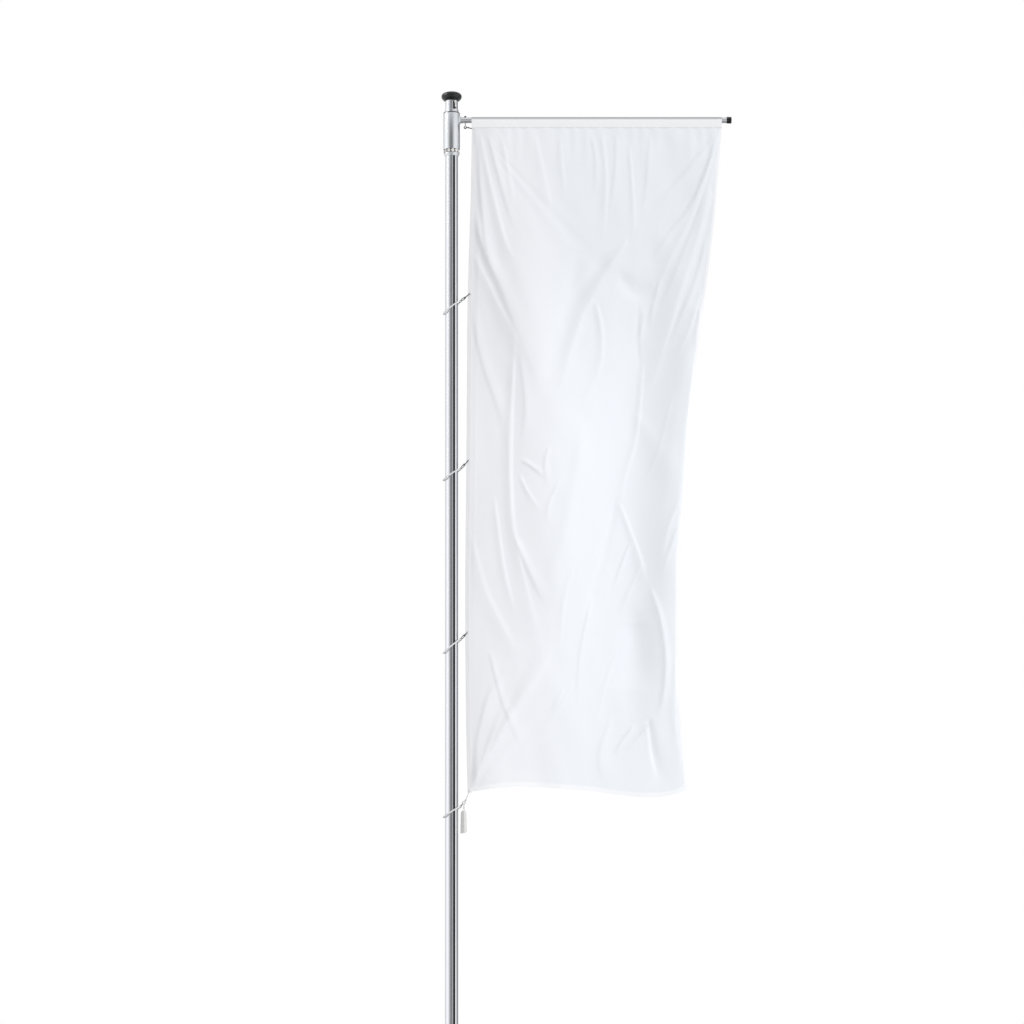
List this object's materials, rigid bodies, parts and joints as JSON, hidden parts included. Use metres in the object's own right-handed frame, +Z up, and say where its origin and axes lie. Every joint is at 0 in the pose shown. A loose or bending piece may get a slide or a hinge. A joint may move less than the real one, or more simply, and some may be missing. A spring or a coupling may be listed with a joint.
{
  "type": "banner flagpole with hoistable turning arm",
  "caption": "Tall round grooved mast with a domed cap, a hoistable sleeve that turns round it, a level arm and a long portrait banner held by mast loops and a hanging weight.",
  "frame": {"origin": "centre of the mast's foot at ground level", "axes": "+Z up along the mast, +X along the arm, -Y towards the viewer with the arm on the right"},
  "size_m": [1.712, 0.2724, 8.051],
  "materials": {
    "anodised_aluminium": "satin",
    "black_gloss_plastic": "gloss",
    "black_plastic": "matte",
    "white_plastic": "satin",
    "grey_plastic": "satin",
    "white_cord": "matte",
    "banner_cloth": "matte",
    "steel_fittings": "satin",
    "dark_steel": "satin",
    "grey_weight": "satin"
  },
  "bodies": {
    "mast": {"mast_tube": "anodised_aluminium", "foot_plug": "black_plastic", "mast_cap": "black_gloss_plastic", "halyard": "white_cord"},
    "carriage": {"carriage_tube": "anodised_aluminium", "glide_ring": "white_plastic", "roller_cage": "black_plastic", "rollers": "white_plastic", "seat_cone": "anodised_aluminium", "groove_slider": "white_plastic", "halyard_end": "white_cord"},
    "boom": {"boom_sleeve": "anodised_aluminium", "upper_bush": "black_plastic", "arm_saddle": "anodised_aluminium", "arm_socket": "anodised_aluminium", "arm_tube": "anodised_aluminium", "arm_end_cap": "black_gloss_plastic", "eye_bolt": "steel_fittings", "eye_nut": "dark_steel", "top_hook": "steel_fittings", "flag_cloth": "banner_cloth", "flag_hem": "banner_cloth", "hoist_band": "banner_cloth", "grommets": "steel_fittings", "mast_loop_1": "white_cord", "mast_loop_2": "white_cord", "mast_loop_3": "white_cord", "mast_loop_4": "white_cord", "loop_hook_1": "grey_plastic", "loop_hook_2": "grey_plastic", "loop_hook_3": "grey_plastic", "loop_hook_4": "grey_plastic", "corner_cord": "grey_plastic", "weight_ring": "steel_fittings"},
    "weight": {"weight_block": "grey_weight", "weight_bail": "steel_fittings"}
  },
  "joints": [
    {"name": "hoist", "type": "slide", "parent": "mast", "child": "carriage", "axis": [0, 0, 1], "range_m": [-3.5, 0]},
    {"name": "boom_turn", "type": "hinge", "parent": "carriage", "child": "boom", "pos_m": [0, 0, 7.8], "axis": [0, 0, 1], "continuous": true},
    {"name": "weight_swing", "type": "hinge", "parent": "boom", "child": "weight", "pos_m": [0.07085, 0, 3.83054], "axis": [1, 0, 0], "range_deg": [-45, 45]}
  ]
}
